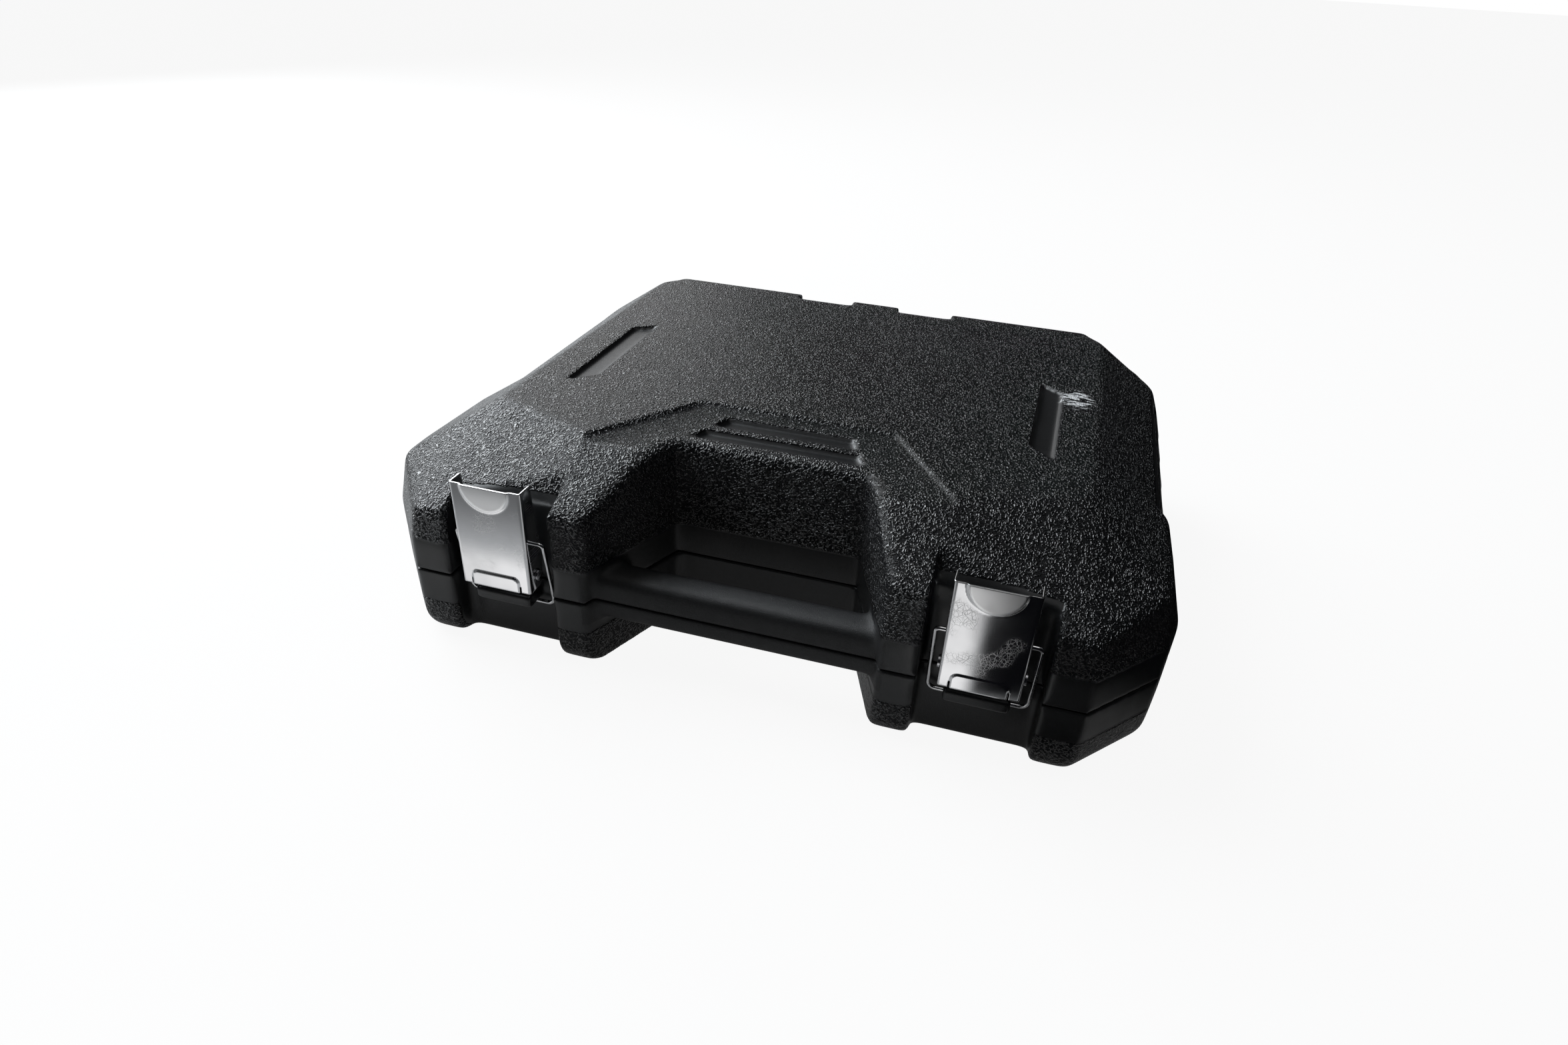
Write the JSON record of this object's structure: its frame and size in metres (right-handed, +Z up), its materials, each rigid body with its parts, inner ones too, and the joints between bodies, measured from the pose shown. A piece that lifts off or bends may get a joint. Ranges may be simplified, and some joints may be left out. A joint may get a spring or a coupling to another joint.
{
  "type": "socket wrench set in case",
  "caption": "Black moulded carrying case with a hinged lid, a handle and steel draw latches, packed with ratchets, sockets and bars.",
  "frame": {"origin": "on the floor under the middle of the closed case", "axes": "X along the case, Y from the handle to the hinge, Z up"},
  "size_m": [0.383, 0.3048, 0.1003],
  "materials": {
    "case_base": "moulded black polyethylene with leather grain",
    "case_lid": "moulded black polyethylene with leather grain",
    "tray_foam": "black closed-cell foam",
    "latch_sheet": "bright rolled sheet with fine scratches",
    "bail_wire": "bright drawn wire",
    "pin_steel": "turned steel",
    "tool_grip": "soft black grip",
    "plug_rubber": "black rubber",
    "hex_key_steel": "black oxide",
    "plain_steel": "plain ground steel",
    "satin_chrome": "satin chrome",
    "polished_chrome": "polished chrome"
  },
  "bodies": {
    "base": {"case_base": "case_base", "hinge_pin": "pin_steel", "tray_rear": "tray_foam", "tray_middle": "tray_foam", "tray_front": "tray_foam", "ratchet_body": "satin_chrome", "ratchet_grip": "tool_grip", "ratchet_cover": "satin_chrome", "ratchet_cover_screws": "plain_steel", "small_ratchet_body": "satin_chrome", "small_ratchet_grip": "tool_grip", "tbar_rod": "polished_chrome", "long_extension": "polished_chrome", "short_extension": "polished_chrome", "small_extension": "polished_chrome", "universal_lower_yoke": "polished_chrome", "spinner_shaft": "polished_chrome", "spinner_grip": "tool_grip", "drive_adapter": "polished_chrome", "hex_keys": "hex_key_steel", "socket_32": "polished_chrome", "socket_30": "polished_chrome", "socket_27": "polished_chrome", "socket_24": "polished_chrome", "socket_22": "polished_chrome", "socket_21": "polished_chrome", "socket_19": "polished_chrome", "socket_18": "polished_chrome", "socket_17": "polished_chrome", "socket_16": "polished_chrome", "socket_14": "polished_chrome", "socket_13": "polished_chrome", "socket_12": "polished_chrome", "socket_10": "polished_chrome", "small_socket_13": "polished_chrome", "small_socket_12": "polished_chrome", "small_socket_10": "polished_chrome", "small_socket_9": "polished_chrome", "small_socket_8": "polished_chrome", "small_socket_7": "polished_chrome", "small_socket_6": "polished_chrome", "plug_socket_21": "polished_chrome", "plug_socket_16": "polished_chrome", "plug_insert_21": "plug_rubber", "plug_insert_16": "plug_rubber"},
    "lid": {"case_lid": "case_lid"},
    "lever_left": {"latch_lever_left": "latch_sheet", "latch_pin_left": "pin_steel"},
    "lever_right": {"latch_lever_right": "latch_sheet", "latch_pin_right": "pin_steel"},
    "bail_left": {"latch_bail_left": "bail_wire"},
    "bail_right": {"latch_bail_right": "bail_wire"},
    "large_drive": {"ratchet_drive": "polished_chrome"},
    "release_button": {"ratchet_button": "plain_steel"},
    "direction_switch": {"ratchet_switch": "satin_chrome"},
    "small_drive": {"small_ratchet_drive": "polished_chrome"},
    "small_switch": {"small_ratchet_switch": "satin_chrome"},
    "sliding_head": {"tbar_head": "satin_chrome"},
    "joint_cross": {"universal_cross": "plain_steel"},
    "joint_yoke": {"universal_upper_yoke": "polished_chrome"}
  },
  "joints": [
    {"name": "lid_hinge", "type": "hinge", "parent": "base", "child": "lid", "pos_m": [0, 0.147, 0.0373], "axis": [-1, 0, 0], "range_deg": [0, 105]},
    {"name": "lever_left_pivot", "type": "hinge", "parent": "lid", "child": "lever_left", "pos_m": [-0.1121, -0.1435, 0.0455], "axis": [1, 0, 0], "range_deg": [0, 95]},
    {"name": "bail_left_pivot", "type": "hinge", "parent": "lever_left", "child": "bail_left", "pos_m": [-0.1121, -0.1445, 0.0629], "axis": [1, 0, 0], "range_deg": [-126, 2]},
    {"name": "lever_right_pivot", "type": "hinge", "parent": "lid", "child": "lever_right", "pos_m": [0.1121, -0.1435, 0.0455], "axis": [1, 0, 0], "range_deg": [0, 95]},
    {"name": "bail_right_pivot", "type": "hinge", "parent": "lever_right", "child": "bail_right", "pos_m": [0.1121, -0.1445, 0.0629], "axis": [1, 0, 0], "range_deg": [-126, 2]},
    {"name": "large_drive_spin", "type": "hinge", "parent": "base", "child": "large_drive", "pos_m": [-0.1025, -0.061, 0.032], "axis": [0, 0, 1], "continuous": true},
    {"name": "release_button_press", "type": "slide", "parent": "large_drive", "child": "release_button", "axis": [0, 0, 1], "range_m": [-0.0025, 0], "stiffness_N_per_m": 400, "springref_m": 0.0005},
    {"name": "direction_switch_turn", "type": "hinge", "parent": "base", "child": "direction_switch", "pos_m": [-0.0881, -0.061, 0.045], "axis": [0, 0, 1], "range_deg": [-25, 25]},
    {"name": "small_drive_spin", "type": "hinge", "parent": "base", "child": "small_drive", "pos_m": [-0.163, -0.097, 0.03], "axis": [0, 0, 1], "continuous": true},
    {"name": "small_switch_turn", "type": "hinge", "parent": "base", "child": "small_switch", "pos_m": [-0.163, -0.097, 0.038], "axis": [0, 0, 1], "range_deg": [-20, 20]},
    {"name": "sliding_head_slide", "type": "slide", "parent": "base", "child": "sliding_head", "axis": [1, 0, 0], "range_m": [-0.08, 0.08]},
    {"name": "joint_cross_pivot", "type": "hinge", "parent": "base", "child": "joint_cross", "pos_m": [-0.118, -0.095, 0.04], "axis": [1, 0, 0], "range_deg": [-35, 35]},
    {"name": "joint_yoke_pivot", "type": "hinge", "parent": "joint_cross", "child": "joint_yoke", "pos_m": [-0.118, -0.095, 0.04], "axis": [0, 1, 0], "range_deg": [-35, 35]}
  ],
  "couplings": [
    {"joint": "bail_left_pivot", "follows": "lever_left_pivot", "ratio": -1.316},
    {"joint": "bail_right_pivot", "follows": "lever_right_pivot", "ratio": -1.316}
  ]
}
